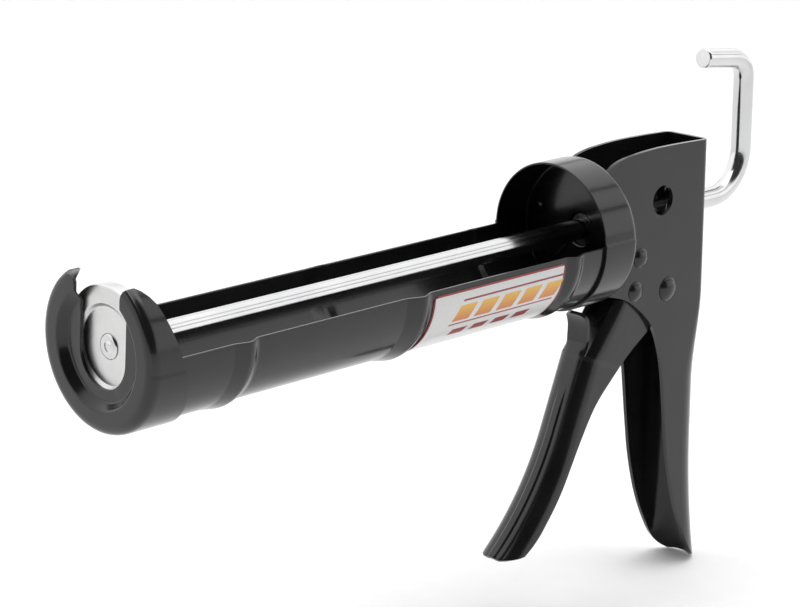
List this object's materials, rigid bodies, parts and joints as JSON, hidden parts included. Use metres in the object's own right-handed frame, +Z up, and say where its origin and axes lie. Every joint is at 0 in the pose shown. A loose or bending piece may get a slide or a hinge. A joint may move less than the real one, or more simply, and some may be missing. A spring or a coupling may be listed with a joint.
{
  "type": "caulking gun",
  "caption": "Half-barrel cradle gun for sealant cartridges, with a stamped handle, trigger, ratchet push rod with a rear hook and a plunger disc.",
  "frame": {"origin": "centre of the cartridge seat, on the push rod's axis", "axes": "+X out of the nozzle end along the barrel, +Y to the gun's left, +Z up"},
  "size_m": [0.3287, 0.057, 0.2076],
  "materials": {
    "black_enamel": "gloss black enamel over stamped steel",
    "bright_steel": "bright zinc plate, polished along the rod",
    "plain_steel": "plain machined steel with a thin oil film",
    "spring_steel": "dark drawn spring wire",
    "label_print": "white printed sticker with a clear gloss coat"
  },
  "bodies": {
    "frame": {"cradle": "black_enamel", "front_cap": "black_enamel", "rear_cap": "black_enamel", "rod_guide_bush": "plain_steel", "barrel_label": "label_print", "handle": "black_enamel", "trigger_pivot_rivet": "black_enamel", "pivot_sleeve": "plain_steel", "catch_rivet": "black_enamel", "stop_rivet": "black_enamel", "return_spring": "spring_steel", "holding_pawl_spring": "spring_steel"},
    "trigger_lever": {"trigger": "black_enamel", "cutter_blade": "bright_steel", "cutter_rivets": "plain_steel", "pawl_pin": "plain_steel", "drive_pawl_spring": "spring_steel"},
    "drive_pawl_body": {"drive_pawl": "plain_steel"},
    "holding_pawl_body": {"holding_pawl": "plain_steel"},
    "plunger": {"plunger_disc": "bright_steel", "plunger_washer": "plain_steel"},
    "rod": {"push_rod": "bright_steel", "rod_collar": "plain_steel"}
  },
  "joints": [
    {"name": "trigger_squeeze", "type": "hinge", "parent": "frame", "child": "trigger_lever", "pos_m": [-0.04, 0, -0.0286], "axis": [0, 1, 0], "range_deg": [0, 28], "stiffness_Nm_per_rad": 0.4, "springref_deg": -20.05, "deforming": ["return_spring", "drive_pawl_spring"]},
    {"name": "drive_pawl_turn", "type": "hinge", "parent": "trigger_lever", "child": "drive_pawl_body", "pos_m": [-0.04387, 0, -0.01307], "axis": [0, 1, 0], "range_deg": [-28, 0]},
    {"name": "holding_pawl_turn", "type": "hinge", "parent": "frame", "child": "holding_pawl_body", "pos_m": [-0.0235, 0, -0.0134], "axis": [0, 1, 0], "range_deg": [0, 12], "stiffness_Nm_per_rad": 0.02, "springref_deg": -28.65, "deforming": ["holding_pawl_spring"]},
    {"name": "plunger_slide", "type": "slide", "parent": "frame", "child": "plunger", "axis": [1, 0, 0], "range_m": [-0.214, 0]},
    {"name": "rod_turn", "type": "hinge", "parent": "plunger", "child": "rod", "pos_m": [0.1, 0, 0], "axis": [1, 0, 0], "range_deg": [0, 180]}
  ],
  "couplings": [
    {"joint": "drive_pawl_turn", "follows": "trigger_squeeze", "ratio": -1}
  ]
}
